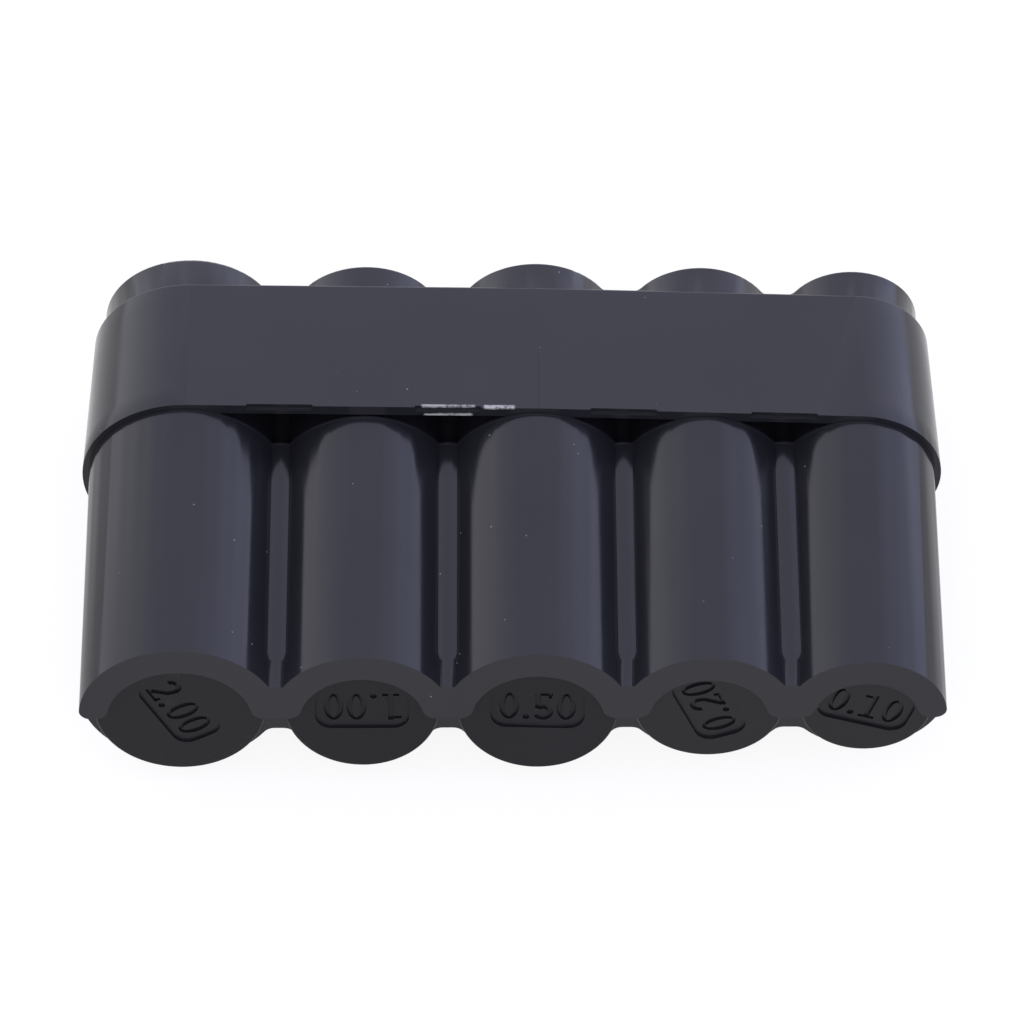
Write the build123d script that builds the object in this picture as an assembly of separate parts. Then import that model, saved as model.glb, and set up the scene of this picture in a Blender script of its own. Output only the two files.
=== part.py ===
from build123d import *
import os
from math import cos, radians, sin, sqrt, tan

# Pocket coin dispenser: five spring-loaded tubes side by side in one moulded body,
# closed at the far end by a cap with a flat band and five spring cups.
# It lies on its back. X runs across the tubes, Y along them from the dispensing
# end to the closed end, Z up. Lengths are in millimetres.

# The five tubes, left to right: the value each takes, the coin, the tube outside
VALUES = ("2.00", "1.00", "0.50", "0.20", "0.10")
COIN_DIAMETERS = (25.75, 23.25, 24.25, 22.25, 19.75)
TUBE_RADII = (14.95, 13.35, 13.95, 12.95, 12.0)
TUBE_SPACINGS = (27.1, 26.1, 25.4, 23.35)
COIN_CLEARANCE = 0.2

# Stations along Y, measured from the dispensing end
CUT_BACK = 4.1
RIB_STEP_Y = 6.2
SHOULDER_Y = 48.0
SPIGOT_END_Y = 70.8
BAND_INNER_END_Y = 71.3
BAND_END_Y = 74.2
CUP_FLOOR_Y = 79.2
OVERALL_END_Y = 80.8

# Body: lip over the upper half of the mouths, crowned ribs in the front valleys,
# hollow-cornered webs in the back ones, spigot
LIP_THICKNESS = 1.3
LIP_WIDTH = 4.1
MOUTH_DROP = 0.9
LIP_BOTTOM_Z = -0.6
LIP_INNER_CORNER = 2.2
LIP_OUTER_CORNER = 1.8
RIB_RADIUS = 3.4
RIB_TOP_Z = 7.4
RIB_MOUTH_RADIUS = 1.9
RIB_MOUTH_TOP_Z = 6.85
RIB_RAMP = 1.0
BACK_WEB_DEPTH = 7.6
BACK_WEB_CORNER = 1.9
RIM_PROUD = 0.15
RIM_WIDTH = 0.4
SPIGOT_STEP = 0.8
SPIGOT_RIB_TOP_Z = 5.2
EDGE_MATCH = 0.3
CORNER_MATCH = 0.001

# Cap: flat band round the spigot, round cups with low webs between them behind it
BAND_PROUD = 1.05
BAND_CLEARANCE = 0.05
BAND_EDGE = 0.5
BAND_DRAFT = radians(2.4)
CUP_INSET = 1.6
CUP_WALL = 1.6
CUP_EDGE = 0.5
CUP_WEB_DROP = 7.4
CUP_WEB_CORNER = 2.2
NOTCH_WIDTH = 10.0
NOTCH_DEPTH = 0.35
NOTCH_HEIGHT = 0.95

# Pushers: a flange that follows the coins and a boss that centres the spring.
# The lip holds only the upper half, so three of them lean out at the bottom.
PUSHER_REST_Y = 1.4
PUSHER_PLAY = 0.35
FLANGE_THICKNESS = 2.8
FLANGE_EDGE = 0.3
BOSS_LENGTH = 3.2
BOSS_EDGE = 0.5
PUSHER_LEANS = (3.5, 8.0, 8.0, 0.0, 0.0)
PUSHER_TURNS = (-61.0, 180.0, -2.0, 112.0, -19.0)

# Sunk panel with the value engraved deeper in it
PANEL_WIDTH = 14.0
PANEL_HEIGHT = 7.8
PANEL_CORNER = 2.4
PANEL_DEPTH = 0.4
DIGIT_HEIGHT = 5.2
DIGIT_WIDTH = 2.9
DIGIT_PITCH = 3.4
POINT_PITCH = 1.7
POINT_RADIUS = 0.5
STROKE = 0.8
SERIF = 0.5
ENGRAVING = 0.4
ONE_FOOT_WIDTH = 2.5
TWO_WAIST_X = 0.8
FIVE_TOP_WIDTH = 2.6
FIVE_BACK_X = -0.85
FIVE_BELLY_RISE = 0.75
FIVE_TAIL_DROP = 0.5

# Springs, straight wire helices between the boss and the cup floor
WIRE_DIAMETER = 0.9
SPRING_SIDE_CLEARANCE = 0.4
SPRING_BOSS_CLEARANCE = 1.0
SPRING_END_CLEARANCE = 0.35
SPRING_PITCH = 6.2


def tube_centres():
    """X of each tube's axis, with the band's outline centred on X = 0."""
    left = TUBE_RADII[0] + BAND_PROUD
    right = TUBE_RADII[-1] + BAND_PROUD
    first = left - (left + sum(TUBE_SPACINGS) + right) / 2
    return [first + sum(TUBE_SPACINGS[:i]) for i in range(len(TUBE_RADII))]


CENTRES = tube_centres()
BORE_RADII = [coin / 2 + COIN_CLEARANCE for coin in COIN_DIAMETERS]
CUP_RADII = [radius - CUP_INSET for radius in TUBE_RADII]
SPRING_RADII = [
    radius - CUP_WALL - SPRING_SIDE_CLEARANCE - WIRE_DIAMETER / 2 - BAND_EDGE / 2
    for radius in CUP_RADII
]


def valley_centres():
    """X of each valley, where the circles of two neighbouring tubes cross."""
    found = []
    for i, spacing in enumerate(TUBE_SPACINGS):
        near, far = TUBE_RADII[i], TUBE_RADII[i + 1]
        found.append(CENTRES[i] + (near**2 - far**2 + spacing**2) / (2 * spacing))
    return found


def along(profile, start, end, taper=0.0):
    """Extrude a profile drawn in X and Z from one Y station to another."""
    return extrude(Plane.XZ.offset(-start) * profile, start - end, taper=taper)


def discs(radii):
    """One circle on each tube axis."""
    return Sketch() + [Pos(x, 0) * Circle(r) for x, r in zip(CENTRES, radii)]


def hollow_corners(outline, heights, radius):
    """Round an outline's corners that lie at any of the given heights."""
    corners = [
        vertex
        for vertex in outline.vertices()
        if any(abs(vertex.Y - height) < CORNER_MATCH for height in heights)
    ]
    return fillet(corners, radius)


def scallops(inset, rib_radius, rib_top):
    """The five tubes' outline with a crowned rib in each front valley and a web behind."""
    profile = discs([radius - inset for radius in TUBE_RADII])
    rib_centre = rib_top - rib_radius
    for left, right in zip(CENTRES, CENTRES[1:]):
        middle = ((left + right) / 2, (rib_centre - BACK_WEB_DEPTH) / 2)
        profile += Pos(*middle) * Rectangle(right - left, rib_centre + BACK_WEB_DEPTH)
    profile = hollow_corners(profile, [-BACK_WEB_DEPTH], BACK_WEB_CORNER)
    return profile + [Pos(x, rib_centre) * Circle(rib_radius) for x in valley_centres()]


def hull(grow):
    """The taut outline round all five tubes, grown or shrunk."""
    circles = [Pos(x, 0) * Circle(r + grow) for x, r in zip(CENTRES, TUBE_RADII)]
    return make_hull([edge for circle in circles for edge in circle.edges()])


def rib_ramps():
    """Short slopes from the ribs down to their lower stretch at the mouths."""
    solids = []
    for x in valley_centres():
        low = Pos(x, RIB_MOUTH_TOP_Z - RIB_MOUTH_RADIUS) * Circle(RIB_MOUTH_RADIUS)
        high = Pos(x, RIB_TOP_Z - RIB_RADIUS) * Circle(RIB_RADIUS)
        mouth = Plane.XZ.offset(RIB_RAMP - RIB_STEP_Y) * low
        step = Plane.XZ.offset(-RIB_STEP_Y) * high
        solids.append(loft([mouth.face(), step.face()]))
    return solids


def lip_edges(body, x_positions):
    """The lip's lower edges along Y at the given X positions."""
    return [
        edge
        for edge in body.edges().filter_by(Axis.Y)
        if edge.center().Y < CUT_BACK
        and abs(edge.center().Z - LIP_BOTTOM_Z) < EDGE_MATCH
        and any(abs(edge.center().X - x) < EDGE_MATCH for x in x_positions)
    ]


def round_lip_corners(body):
    """Round the lip where its lower edge meets each mouth and each side."""
    mouths = []
    for x, radius in zip(CENTRES, TUBE_RADII):
        half = sqrt((radius - LIP_WIDTH) ** 2 - (LIP_BOTTOM_Z + MOUTH_DROP) ** 2)
        mouths += [x - half, x + half]
    sides = [CENTRES[0] - TUBE_RADII[0], CENTRES[-1] + TUBE_RADII[-1]]
    rounded = fillet(lip_edges(body, mouths), LIP_INNER_CORNER)
    return fillet(lip_edges(rounded, sides), LIP_OUTER_CORNER)


def tube_body():
    """Five tubes in one moulding, open towards the cap, lipped at the mouths."""
    body = along(scallops(0, RIB_MOUTH_RADIUS, RIB_MOUTH_TOP_Z), 0, RIB_STEP_Y)
    body += along(scallops(0, RIB_RADIUS, RIB_TOP_Z), RIB_STEP_Y, SHOULDER_Y)
    body += rib_ramps()
    rim = scallops(-RIM_PROUD, RIB_RADIUS + RIM_PROUD, RIB_TOP_Z + RIM_PROUD)
    body += along(rim, SHOULDER_Y - RIM_WIDTH, SHOULDER_Y)
    spigot = scallops(SPIGOT_STEP, RIB_MOUTH_RADIUS, SPIGOT_RIB_TOP_Z)
    body += along(spigot, SHOULDER_Y, SPIGOT_END_Y)
    body -= along(discs(BORE_RADII), LIP_THICKNESS, SPIGOT_END_Y)
    mouths = Pos(0, -MOUTH_DROP) * discs([radius - LIP_WIDTH for radius in TUBE_RADII])
    body -= along(mouths, 0, LIP_THICKNESS)
    body -= Pos(0, 0, LIP_BOTTOM_Z - TUBE_RADII[0]) * Box(
        2 * sum(TUBE_SPACINGS), 2 * CUT_BACK, 2 * TUBE_RADII[0]
    )
    return round_lip_corners(body)


def band_notches():
    """Shallow steps in the band's near edge, front and back, at the valleys."""
    top = TUBE_RADII[0] + BAND_PROUD
    shell = along(hull(BAND_PROUD), SHOULDER_Y, SHOULDER_Y + NOTCH_DEPTH)
    shell -= along(hull(BAND_PROUD - NOTCH_HEIGHT), SHOULDER_Y, SHOULDER_Y + NOTCH_DEPTH)
    blocks = [
        Pos(x, SHOULDER_Y, 0) * Box(NOTCH_WIDTH, 4 * NOTCH_DEPTH, 2 * top)
        for x in valley_centres()
    ]
    return shell & (Part() + blocks)


def cup_outline():
    """A circle behind each tube, joined by low webs with hollow corners."""
    outline = discs(CUP_RADII)
    heights = []
    for i, (left, right) in enumerate(zip(CENTRES, CENTRES[1:])):
        height = (TUBE_RADII[i] + TUBE_RADII[i + 1]) / 2 - CUP_WEB_DROP
        heights += [-height, height]
        outline += Pos((left + right) / 2, 0) * Rectangle(right - left, 2 * height)
    return hollow_corners(outline, heights, CUP_WEB_CORNER)


def base_cap():
    """Band that sleeves over the spigot, end wall, and a closed cup per spring."""
    far_proud = BAND_PROUD - (BAND_END_Y - SHOULDER_Y) * tan(BAND_DRAFT)
    near = Plane.XZ.offset(-SHOULDER_Y) * hull(BAND_PROUD)
    far = Plane.XZ.offset(-BAND_END_Y) * hull(far_proud)
    band = loft([near.face(), far.face()], ruled=True)
    band = fillet(band.faces().sort_by(Axis.Y)[-1].edges(), BAND_EDGE)
    cap = band - along(hull(BAND_CLEARANCE - SPIGOT_STEP), SHOULDER_Y, BAND_INNER_END_Y)
    cups = along(cup_outline(), BAND_INNER_END_Y, OVERALL_END_Y)
    cap += fillet(cups.faces().sort_by(Axis.Y)[-1].edges(), CUP_EDGE)
    inside = discs([radius - CUP_WALL for radius in CUP_RADII])
    cap -= along(inside, BAND_INNER_END_Y, CUP_FLOOR_Y)
    return cap - band_notches()


def stroke(*points):
    """A straight-sided pen stroke through the given points."""
    return trace(Polyline(*points), STROKE)


def digit_zero():
    half_width, half_height = DIGIT_WIDTH / 2, DIGIT_HEIGHT / 2
    return Ellipse(half_width, half_height) - Ellipse(
        half_width - STROKE, half_height - SERIF
    )


def digit_one():
    top = DIGIT_HEIGHT / 2
    shape = Rectangle(STROKE, DIGIT_HEIGHT)
    shape += Pos(0, -top + SERIF / 2) * Rectangle(ONE_FOOT_WIDTH, SERIF)
    shape += Pos(-STROKE, top - SERIF) * Rectangle(2 * STROKE, SERIF)
    return shape


def digit_two():
    half, top = DIGIT_WIDTH / 2, DIGIT_HEIGHT / 2
    bowl = half - STROKE / 2
    middle = top - STROKE / 2 - bowl
    hook = ThreePointArc((-bowl, middle), (0, middle + bowl), (bowl, middle))
    shape = trace(hook, STROKE)
    shape += stroke((bowl, middle), (TWO_WAIST_X, 0), (-bowl, -top + SERIF))
    shape += Pos(0, -top + SERIF / 2) * Rectangle(DIGIT_WIDTH, SERIF)
    shape += Pos(half - SERIF / 2, -top + SERIF) * Rectangle(SERIF, 2 * SERIF)
    return shape


def digit_five():
    half, top = DIGIT_WIDTH / 2, DIGIT_HEIGHT / 2
    bowl = half - STROKE / 2
    middle = -top + STROKE / 2 + bowl
    belly_start = (FIVE_BACK_X, middle + FIVE_BELLY_RISE)
    shape = Pos(0, top - SERIF / 2) * Rectangle(FIVE_TOP_WIDTH, SERIF)
    shape += Pos(half - SERIF, top - SERIF) * Rectangle(SERIF, 2 * SERIF)
    shape += stroke((FIVE_BACK_X, top), belly_start)
    belly = ThreePointArc(belly_start, (bowl, middle), (-bowl, middle - FIVE_TAIL_DROP))
    return shape + trace(belly, STROKE)


def decimal_point():
    return Pos(0, POINT_RADIUS - DIGIT_HEIGHT / 2) * Circle(POINT_RADIUS)


GLYPHS = {
    "0": digit_zero,
    "1": digit_one,
    "2": digit_two,
    "5": digit_five,
    ".": decimal_point,
}


def value_sketch(value):
    """The value as numerals, centred on the origin."""
    pitches = [POINT_PITCH if mark == "." else DIGIT_PITCH for mark in value]
    x = -sum(pitches) / 2
    sketch = Sketch()
    for mark, pitch in zip(value, pitches):
        sketch += Pos(x + pitch / 2, 0) * GLYPHS[mark]()
        x += pitch
    return sketch


def pusher(index):
    """Flange with its panel and value in front and the spring boss behind."""
    radius = BORE_RADII[index] - PUSHER_PLAY
    flange = along(Circle(radius), 0, FLANGE_THICKNESS)
    flange = fillet(flange.edges().filter_by(GeomType.CIRCLE), FLANGE_EDGE)
    boss_radius = SPRING_RADII[index] - WIRE_DIAMETER / 2 - SPRING_BOSS_CLEARANCE
    boss = along(Circle(boss_radius), FLANGE_THICKNESS / 2, FLANGE_THICKNESS + BOSS_LENGTH)
    boss = fillet(boss.faces().sort_by(Axis.Y)[-1].edges(), BOSS_EDGE)
    panel = along(RectangleRounded(PANEL_WIDTH, PANEL_HEIGHT, PANEL_CORNER), 0, PANEL_DEPTH)
    value = along(value_sketch(VALUES[index]), 0, PANEL_DEPTH + ENGRAVING)
    piece = flange + boss - panel - value
    lean = PUSHER_LEANS[index]
    piece = Rot(-lean, 0, 0) * Rot(0, -PUSHER_TURNS[index], 0) * piece
    forward = PUSHER_REST_Y - LIP_BOTTOM_Z * tan(radians(lean))
    return Pos(CENTRES[index], forward, 0) * piece


def spring(index):
    """Wire helix from behind the leaning flange to the cup floor."""
    radius = SPRING_RADII[index]
    lean = radians(PUSHER_LEANS[index])
    reach = radius + WIRE_DIAMETER / 2
    flange_back = PUSHER_REST_Y + FLANGE_THICKNESS / cos(lean) + (reach - LIP_BOTTOM_Z) * sin(lean)
    start = flange_back + SPRING_END_CLEARANCE + WIRE_DIAMETER / 2
    end = CUP_FLOOR_Y - SPRING_END_CLEARANCE - WIRE_DIAMETER / 2
    helix = Helix(SPRING_PITCH, end - start, radius)
    section = Plane(origin=helix @ 0, z_dir=helix % 0) * Circle(WIRE_DIAMETER / 2)
    coil = sweep(section, path=helix, is_frenet=True)
    return Pos(CENTRES[index], start, 0) * Rot(-90, 0, 0) * coil


def build_parts():
    """Every node by name, in the dispensing end's own coordinates."""
    parts = {"tube_body": tube_body(), "base_cap": base_cap()}
    for index, value in enumerate(VALUES):
        name = value.replace(".", "")
        parts[f"pusher_{name}"] = pusher(index)
        parts[f"spring_{name}"] = spring(index)
    return parts


def main():
    """Put the origin under the middle of the object and write one file per node."""
    os.makedirs("parts", exist_ok=True)
    parts = build_parts()
    box = Compound([solid for part in parts.values() for solid in part.solids()]).bounding_box()
    shift = Pos(-box.center().X, -box.center().Y, -box.min.Z)
    for name, part in parts.items():
        export_step(shift * Compound(part.solids()), f"parts/{name}.step")
    print("origin shift", shift.position)
    print("size", box.size)


main()
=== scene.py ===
from math import cos, pi, radians, sin

import bmesh
import bpy
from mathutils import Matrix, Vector


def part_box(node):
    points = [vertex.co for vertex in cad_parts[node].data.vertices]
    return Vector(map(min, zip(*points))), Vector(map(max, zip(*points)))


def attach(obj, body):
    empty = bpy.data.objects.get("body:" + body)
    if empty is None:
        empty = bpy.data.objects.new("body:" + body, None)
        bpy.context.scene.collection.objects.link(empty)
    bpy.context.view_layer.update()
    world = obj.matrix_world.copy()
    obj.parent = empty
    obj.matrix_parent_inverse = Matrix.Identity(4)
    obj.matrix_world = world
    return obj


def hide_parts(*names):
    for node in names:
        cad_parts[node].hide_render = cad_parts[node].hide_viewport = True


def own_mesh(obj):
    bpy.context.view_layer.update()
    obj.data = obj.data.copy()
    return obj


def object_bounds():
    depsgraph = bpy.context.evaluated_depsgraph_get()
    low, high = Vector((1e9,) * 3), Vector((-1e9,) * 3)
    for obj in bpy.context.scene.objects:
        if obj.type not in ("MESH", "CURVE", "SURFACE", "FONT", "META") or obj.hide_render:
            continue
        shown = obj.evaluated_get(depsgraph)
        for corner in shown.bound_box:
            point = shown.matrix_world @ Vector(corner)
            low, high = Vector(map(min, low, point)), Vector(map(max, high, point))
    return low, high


# Pocket coin dispenser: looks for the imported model. Lengths are in metres.

MM = 0.001
VALUES = ("200", "100", "050", "020", "010")

# Camera: round the object's middle at the height of the tube axes
CAMERA_AZIMUTH = radians(0.2)
CAMERA_ELEVATION = radians(48.5)
CAMERA_DISTANCE = 1.165
CAMERA_LENS = 269.6
CAMERA_SENSOR = 36.0
CAMERA_AIM_Y = 0.05 * MM

# Plastics: colour in linear light, strength of the mirror-like part (0.5 is the shader's
# own level) and range of roughness
BODY_BLACK = (0.0060, 0.0060, 0.0078)
PUSHER_BLACK = (0.0036, 0.0036, 0.0044)
BODY_SHINE = 0.27
PUSHER_SHINE = 0.19
BODY_ROUGHNESS = (0.14, 0.22)
CAP_ROUGHNESS = (0.16, 0.26)
PUSHER_ROUGHNESS = (0.3, 0.42)
PLASTIC_IOR = 1.49
LIGHTER_PATCHES = 1.25

# Variation in the plastic. Scales are in cycles per metre.
DRIFT_SCALE = 35.0
HAZE_SCALE = 90.0
RIPPLE_SCALE = 160.0
GRAIN_SCALE = 2600.0
GRAIN_SHARE = 0.15
BUMP_STRENGTH = 0.08
BUMP_DEPTH = 0.05 * MM

# Dust: one cell in a few holds a speck, measured as a share of the cell
SPECK_SCALE = 420.0
SPECK_EDGE = (0.03, 0.075)
SPECK_PATCHES = 300.0
SPECK_CHANCE = (0.66, 0.70)
SPECK_ROUGHNESS = 0.4
DUST_GREY = (0.10, 0.10, 0.11)

# Spring wire
SPRING_STEEL = (0.55, 0.55, 0.56)
WIRE_STREAKS = 900.0
WIRE_DARKER = 0.7
WIRE_ROUGHNESS = (0.25, 0.4)

# Edges of the mouldings
WELD_REACH = 0.002 * MM
MOULD_EDGE = 0.22 * MM
MOULD_EDGE_STEPS = 3
EDGE_ANGLE = radians(32)

# Springs: evenly wound, with closed coils at each end
WIRE_DIAMETER = 0.9 * MM
LIVE_TURNS = 11
DEAD_TURNS = 2
TURN_STEPS = 36
WIRE_STEPS = 12

# Painted highlight: pale ragged streaks on the band's near edge beside the second valley: X, half
# length, and height from the edge's outer corner, which lies at a share of the band's own height
EDGE_GLINTS = (
    (-9.6 * MM, 3.8 * MM, 0.0),
    (-9.6 * MM, 3.4 * MM, -1.75 * MM),
    (-1.9 * MM, 2.1 * MM, 0.0),
)
GLINT_EDGE_Z = 0.985
GLINT_HEIGHT = 0.28 * MM
GLINT_DEPTH = 0.5 * MM
GLINT_FADE_X = 0.4 * MM
GLINT_FADE_Y = 0.2 * MM
GLINT_FADE_Z = 0.25 * MM
GLINT_WANDER = 0.5 * MM
GLINT_WANDER_SCALE = 1500.0
GLINT_TEAR_SCALE = 1100.0
GLINT_TEAR = (0.36, 0.5)
# Grey of the painted highlight streaks, and the roughness added with them
GLINT_GREY = (0.20, 0.20, 0.195)
GLINT_ROUGHNESS = 0.4

# Floor and light. The surround is a little brighter to the sides than behind.
FLOOR_SIZE = 3.0
FLOOR_GLOW = 0.88
FLOOR_GREY = 0.08
SURROUND_BEHIND = (1.62, 1.62, 2.05)
SURROUND_LEFT = (2.15, 2.15, 2.35)
SURROUND_RIGHT = (1.95, 2.0, 2.75)
SURROUND_TURN = (0.30, 0.72)

# Softbox over the camera's shoulder, at a distance from the origin
SOFTBOX_DISTANCE = 1.3
SOFTBOX_ELEVATION = radians(40)
SOFTBOX_WIDTH = 0.8
SOFTBOX_HEIGHT = 0.5
SOFTBOX_POWER = 9.0


def node_tree(material):
    """An empty node tree with one Principled shader going to the output."""
    material.use_nodes = True
    tree = material.node_tree
    tree.nodes.clear()
    output = tree.nodes.new("ShaderNodeOutputMaterial")
    shader = tree.nodes.new("ShaderNodeBsdfPrincipled")
    tree.links.new(shader.outputs["BSDF"], output.inputs["Surface"])
    return tree, shader


def position(tree):
    """The point's place in the row frame."""
    return tree.nodes.new("ShaderNodeTexCoord").outputs["Object"]


def noise(tree, where, scale, detail=2.0, roughness=0.5):
    """Fractal noise between 0 and 1, scale in cycles per metre."""
    node = tree.nodes.new("ShaderNodeTexNoise")
    node.inputs["Scale"].default_value = scale
    node.inputs["Detail"].default_value = detail
    node.inputs["Roughness"].default_value = roughness
    tree.links.new(where, node.inputs["Vector"])
    return node.outputs["Fac"]


def ramp(tree, value, low, high, start=0.0, end=1.0):
    """Maps value from low..high to start..end, held at both ends."""
    node = tree.nodes.new("ShaderNodeMapRange")
    node.inputs["From Min"].default_value = low
    node.inputs["From Max"].default_value = high
    node.inputs["To Min"].default_value = start
    node.inputs["To Max"].default_value = end
    tree.links.new(value, node.inputs["Value"])
    return node.outputs["Result"]


def maths(tree, operation, *operands):
    """One math node. Each operand is a socket or a number."""
    node = tree.nodes.new("ShaderNodeMath")
    node.operation = operation
    for socket, operand in zip(node.inputs, operands):
        if isinstance(operand, (int, float)):
            socket.default_value = operand
        else:
            tree.links.new(operand, socket)
    return node.outputs["Value"]


def mix_colour(tree, share, first, second):
    """Blends two colours. Each is a socket or three numbers."""
    node = tree.nodes.new("ShaderNodeMix")
    node.data_type = "RGBA"
    tree.links.new(share, node.inputs["Factor"])
    for name, colour in (("A", first), ("B", second)):
        socket = [s for s in node.inputs if s.name == name and s.type == "RGBA"][0]
        if isinstance(colour, tuple):
            socket.default_value = (*colour, 1.0)
        else:
            tree.links.new(colour, socket)
    return [s for s in node.outputs if s.type == "RGBA"][0]


def dust_specks(tree, where):
    """Sparse round specks a few tenths of a millimetre across."""
    cells = tree.nodes.new("ShaderNodeTexVoronoi")
    cells.inputs["Scale"].default_value = SPECK_SCALE
    tree.links.new(where, cells.inputs["Vector"])
    dot = ramp(tree, cells.outputs["Distance"], *SPECK_EDGE, 1.0, 0.0)
    lucky = ramp(tree, noise(tree, where, SPECK_PATCHES, 0.0), *SPECK_CHANCE)
    return maths(tree, "MULTIPLY", dot, lucky)


def moulded_plastic(name, colour, shine, roughness):
    """Black moulded plastic: slow tone drift, fine grain, handling haze and dust."""
    material = bpy.data.materials.new(name)
    tree, shader = node_tree(material)
    where = position(tree)
    drift = ramp(tree, noise(tree, where, DRIFT_SCALE, 3.0), 0.3, 0.7)
    lighter = tuple(LIGHTER_PATCHES * channel for channel in colour)
    tone = mix_colour(tree, drift, colour, lighter)
    specks = dust_specks(tree, where)
    tone = mix_colour(tree, specks, tone, DUST_GREY)
    tree.links.new(tone, shader.inputs["Base Color"])
    haze = ramp(tree, noise(tree, where, HAZE_SCALE, 4.0, 0.6), 0.35, 0.75, *roughness)
    rough = maths(tree, "ADD", haze, maths(tree, "MULTIPLY", specks, SPECK_ROUGHNESS))
    tree.links.new(rough, shader.inputs["Roughness"])
    grain = noise(tree, where, GRAIN_SCALE, 2.0)
    ripple = noise(tree, where, RIPPLE_SCALE, 1.0)
    height = maths(tree, "ADD", maths(tree, "MULTIPLY", grain, GRAIN_SHARE), ripple)
    bump = tree.nodes.new("ShaderNodeBump")
    bump.inputs["Strength"].default_value = BUMP_STRENGTH
    bump.inputs["Distance"].default_value = BUMP_DEPTH
    tree.links.new(height, bump.inputs["Height"])
    tree.links.new(bump.outputs["Normal"], shader.inputs["Normal"])
    shader.inputs["IOR"].default_value = PLASTIC_IOR
    shader.inputs["Specular IOR Level"].default_value = shine
    return material


def near(tree, value, centre, reach, soft):
    """1 where value is within reach of centre, fading to 0 over soft."""
    offset = maths(tree, "ABSOLUTE", maths(tree, "SUBTRACT", value, centre))
    return ramp(tree, offset, reach, reach + soft, 1.0, 0.0)


def add_painted_edge_glints(material):
    """Painted highlight: pale ragged streaks on the band's near edge, a little rougher there."""
    tree = material.node_tree
    shader = next(node for node in tree.nodes if node.type == "BSDF_PRINCIPLED")
    where = position(tree)
    split = tree.nodes.new("ShaderNodeSeparateXYZ")
    tree.links.new(where, split.inputs["Vector"])
    band_low, band_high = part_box("base_cap")
    wander = noise(tree, where, GLINT_WANDER_SCALE, 3.0)
    ragged = maths(tree, "MULTIPLY", wander, GLINT_WANDER)
    across = maths(tree, "ADD", split.outputs["Z"], ragged)
    torn = ramp(tree, noise(tree, where, GLINT_TEAR_SCALE, 4.0, 0.7), *GLINT_TEAR)
    painted_glint = None
    for x, half_length, height in EDGE_GLINTS:
        along_edge = near(tree, split.outputs["X"], x, half_length, GLINT_FADE_X)
        centre = GLINT_EDGE_Z * band_high.z + height
        streak = near(tree, across, centre, GLINT_HEIGHT, GLINT_FADE_Z)
        streak = maths(tree, "MULTIPLY", streak, along_edge)
        painted_glint = streak if painted_glint is None else maths(tree, "MAXIMUM", painted_glint, streak)
    front = near(tree, split.outputs["Y"], band_low.y, GLINT_DEPTH, GLINT_FADE_Y)
    painted_glint = maths(tree, "MULTIPLY", maths(tree, "MULTIPLY", painted_glint, front), torn)
    # The pale grey mixed into the colour here is a painted highlight along the band's near edge
    base = shader.inputs["Base Color"]
    tone = base.links[0].from_socket
    tree.links.new(mix_colour(tree, painted_glint, tone, GLINT_GREY), base)
    rough = shader.inputs["Roughness"]
    plain = rough.links[0].from_socket
    added = maths(tree, "MULTIPLY", painted_glint, GLINT_ROUGHNESS)
    tree.links.new(maths(tree, "ADD", plain, added), rough)


def spring_steel():
    """Drawn spring wire: bright, with fine lengthwise streaks."""
    material = bpy.data.materials.new("spring_steel")
    tree, shader = node_tree(material)
    where = position(tree)
    streaks = ramp(tree, noise(tree, where, WIRE_STREAKS, 3.0), 0.3, 0.7)
    darker = tuple(WIRE_DARKER * channel for channel in SPRING_STEEL)
    tree.links.new(mix_colour(tree, streaks, darker, SPRING_STEEL), shader.inputs["Base Color"])
    rough = ramp(tree, streaks, 0.0, 1.0, *WIRE_ROUGHNESS)
    tree.links.new(rough, shader.inputs["Roughness"])
    shader.inputs["Metallic"].default_value = 1.0
    return material


def finish_moulding(node, material):
    """Gives a CAD node its material, small moulded edges and smooth shading."""
    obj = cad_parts[node]
    obj.data.materials.clear()
    obj.data.materials.append(material)
    weld = obj.modifiers.new("join_faces", "WELD")
    weld.merge_threshold = WELD_REACH
    bevel = obj.modifiers.new("mould_edges", "BEVEL")
    bevel.width = MOULD_EDGE
    bevel.segments = MOULD_EDGE_STEPS
    bevel.limit_method = "ANGLE"
    bevel.angle_limit = EDGE_ANGLE
    bevel.harden_normals = True
    bevel.use_clamp_overlap = True


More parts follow.
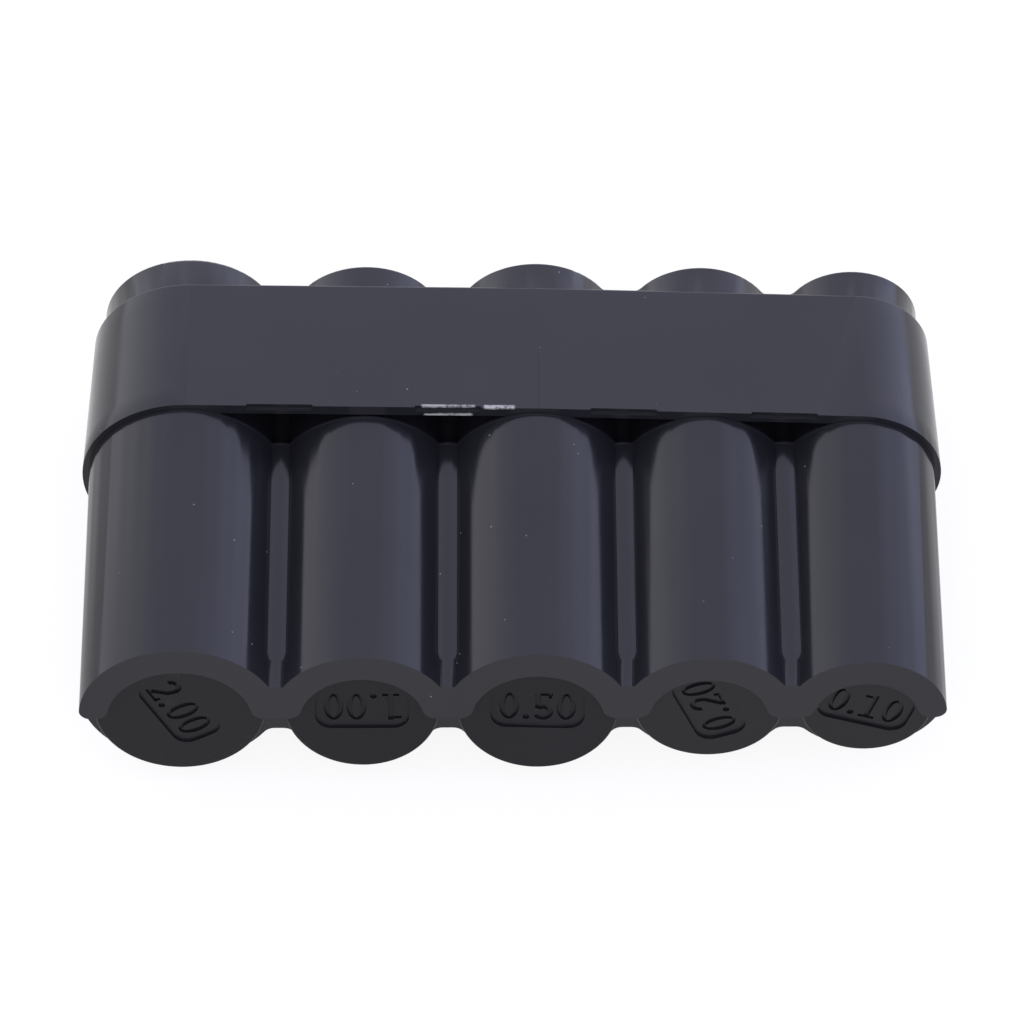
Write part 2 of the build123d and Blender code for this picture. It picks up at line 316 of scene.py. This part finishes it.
def wire_helix(name, node, material):
    """A closed-end compression spring along Y, in the place of its CAD helix."""
    low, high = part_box(node)
    centre = (low + high) / 2
    radius = (high.x - low.x) / 2 - WIRE_DIAMETER / 2
    length = high.y - low.y - WIRE_DIAMETER
    turns = LIVE_TURNS + 2 * DEAD_TURNS
    dead = DEAD_TURNS * WIRE_DIAMETER
    mesh = bpy.data.meshes.new(name)
    build = bmesh.new()
    rings = []
    for step in range(turns * TURN_STEPS + 1):
        turn = step / TURN_STEPS
        if turn <= DEAD_TURNS:
            along = turn * WIRE_DIAMETER
        elif turn >= turns - DEAD_TURNS:
            along = length - (turns - turn) * WIRE_DIAMETER
        else:
            along = dead + (length - 2 * dead) * (turn - DEAD_TURNS) / LIVE_TURNS
        angle = 2 * pi * turn
        outward = Vector((cos(angle), 0, sin(angle)))
        middle = Vector((centre.x, low.y + WIRE_DIAMETER / 2 + along, centre.z)) + radius * outward
        ring = []
        for side in range(WIRE_STEPS):
            around = 2 * pi * side / WIRE_STEPS
            offset = outward * cos(around) + Vector((0, sin(around), 0))
            ring.append(build.verts.new(middle + offset * WIRE_DIAMETER / 2))
        rings.append(ring)
    for first, second in zip(rings, rings[1:]):
        for side in range(WIRE_STEPS):
            after = (side + 1) % WIRE_STEPS
            build.faces.new((first[side], first[after], second[after], second[side]))
    build.faces.new(rings[0][::-1])
    build.faces.new(rings[-1])
    bmesh.ops.recalc_face_normals(build, faces=build.faces)
    build.to_mesh(mesh)
    build.free()
    mesh.materials.append(material)
    mesh.shade_smooth()
    obj = bpy.data.objects.new(name, mesh)
    bpy.context.scene.collection.objects.link(obj)
    return obj


def add_springs(material):
    """Wound springs in the place of the CAD springs, attached to the housing."""
    for value in VALUES:
        node = f"spring_{value}"
        spring = wire_helix(f"coil_{value}", node, material)
        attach(spring, "housing")
        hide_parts(node)
        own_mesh(spring)


def add_camera():
    """A long lens above the dispensing end, aimed at the object's middle."""
    data = bpy.data.cameras.new("camera")
    data.lens = CAMERA_LENS
    data.sensor_width = CAMERA_SENSOR
    camera = bpy.data.objects.new("camera", data)
    bpy.context.scene.collection.objects.link(camera)
    axis_height = (cad_low.z + cad_high.z) / 2
    aim = Vector((0, CAMERA_AIM_Y, axis_height))
    back = Vector((
        -sin(CAMERA_AZIMUTH) * cos(CAMERA_ELEVATION),
        -cos(CAMERA_AZIMUTH) * cos(CAMERA_ELEVATION),
        sin(CAMERA_ELEVATION),
    ))
    camera.location = aim + back * CAMERA_DISTANCE
    camera.rotation_mode = "QUATERNION"
    camera.rotation_quaternion = (-back).to_track_quat("-Z", "Y")
    bpy.context.scene.camera = camera


def add_floor():
    """A plain white sheet under the object, bright enough to keep shadows faint."""
    mesh = bpy.data.meshes.new("floor")
    half = FLOOR_SIZE / 2
    corners = [(-half, -half, 0), (half, -half, 0), (half, half, 0), (-half, half, 0)]
    mesh.from_pydata(corners, [], [(0, 1, 2, 3)])
    material = bpy.data.materials.new("floor_white")
    tree, shader = node_tree(material)
    shader.inputs["Base Color"].default_value = (FLOOR_GREY, FLOOR_GREY, FLOOR_GREY, 1)
    shader.inputs["Roughness"].default_value = 1.0
    shader.inputs["Specular IOR Level"].default_value = 0.0
    shader.inputs["Emission Color"].default_value = (1, 1, 1, 1)
    shader.inputs["Emission Strength"].default_value = FLOOR_GLOW
    mesh.materials.append(material)
    floor = bpy.data.objects.new("floor", mesh)
    floor.location.z = cad_low.z
    bpy.context.scene.collection.objects.link(floor)


def add_light():
    """A white surround, a little brighter and bluer to the sides, like softboxes."""
    world = bpy.data.worlds.new("studio")
    world.use_nodes = True
    tree = world.node_tree
    direction = tree.nodes.new("ShaderNodeTexCoord").outputs["Generated"]
    split = tree.nodes.new("ShaderNodeSeparateXYZ")
    tree.links.new(direction, split.inputs["Vector"])
    start, end = SURROUND_TURN
    right = ramp(tree, split.outputs["X"], start, end)
    left = ramp(tree, split.outputs["X"], -start, -end)
    colour = mix_colour(tree, right, SURROUND_BEHIND, SURROUND_RIGHT)
    colour = mix_colour(tree, left, colour, SURROUND_LEFT)
    tree.links.new(colour, tree.nodes["Background"].inputs["Color"])
    bpy.context.scene.world = world
    bpy.context.scene.view_settings.view_transform = "Standard"


def add_softbox():
    """A wide soft light over the camera's shoulder."""
    data = bpy.data.lights.new("softbox", "AREA")
    data.shape = "RECTANGLE"
    data.size = SOFTBOX_WIDTH
    data.size_y = SOFTBOX_HEIGHT
    data.energy = SOFTBOX_POWER
    light = bpy.data.objects.new("softbox", data)
    towards = Vector((0, -cos(SOFTBOX_ELEVATION), sin(SOFTBOX_ELEVATION)))
    light.location = towards * SOFTBOX_DISTANCE
    light.rotation_mode = "QUATERNION"
    light.rotation_quaternion = (-towards).to_track_quat("-Z", "Y")
    bpy.context.scene.collection.objects.link(light)


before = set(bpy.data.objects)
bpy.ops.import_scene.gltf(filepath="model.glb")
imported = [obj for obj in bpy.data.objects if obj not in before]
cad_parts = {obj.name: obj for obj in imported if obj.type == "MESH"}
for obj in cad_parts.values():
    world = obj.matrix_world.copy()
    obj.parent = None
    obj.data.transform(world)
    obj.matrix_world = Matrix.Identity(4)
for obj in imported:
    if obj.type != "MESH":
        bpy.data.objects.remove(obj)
cad_low, cad_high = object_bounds()

add_camera()
add_floor()
add_light()
add_softbox()

body_plastic = moulded_plastic("body_plastic", BODY_BLACK, BODY_SHINE, BODY_ROUGHNESS)
cap_plastic = moulded_plastic("cap_plastic", BODY_BLACK, BODY_SHINE, CAP_ROUGHNESS)
pusher_plastic = moulded_plastic("pusher_plastic", PUSHER_BLACK, PUSHER_SHINE, PUSHER_ROUGHNESS)
# Painted highlight streaks on the band's near edge
add_painted_edge_glints(cap_plastic)
finish_moulding("tube_body", body_plastic)
finish_moulding("base_cap", cap_plastic)
for coin_value in VALUES:
    finish_moulding(f"pusher_{coin_value}", pusher_plastic)
add_springs(spring_steel())
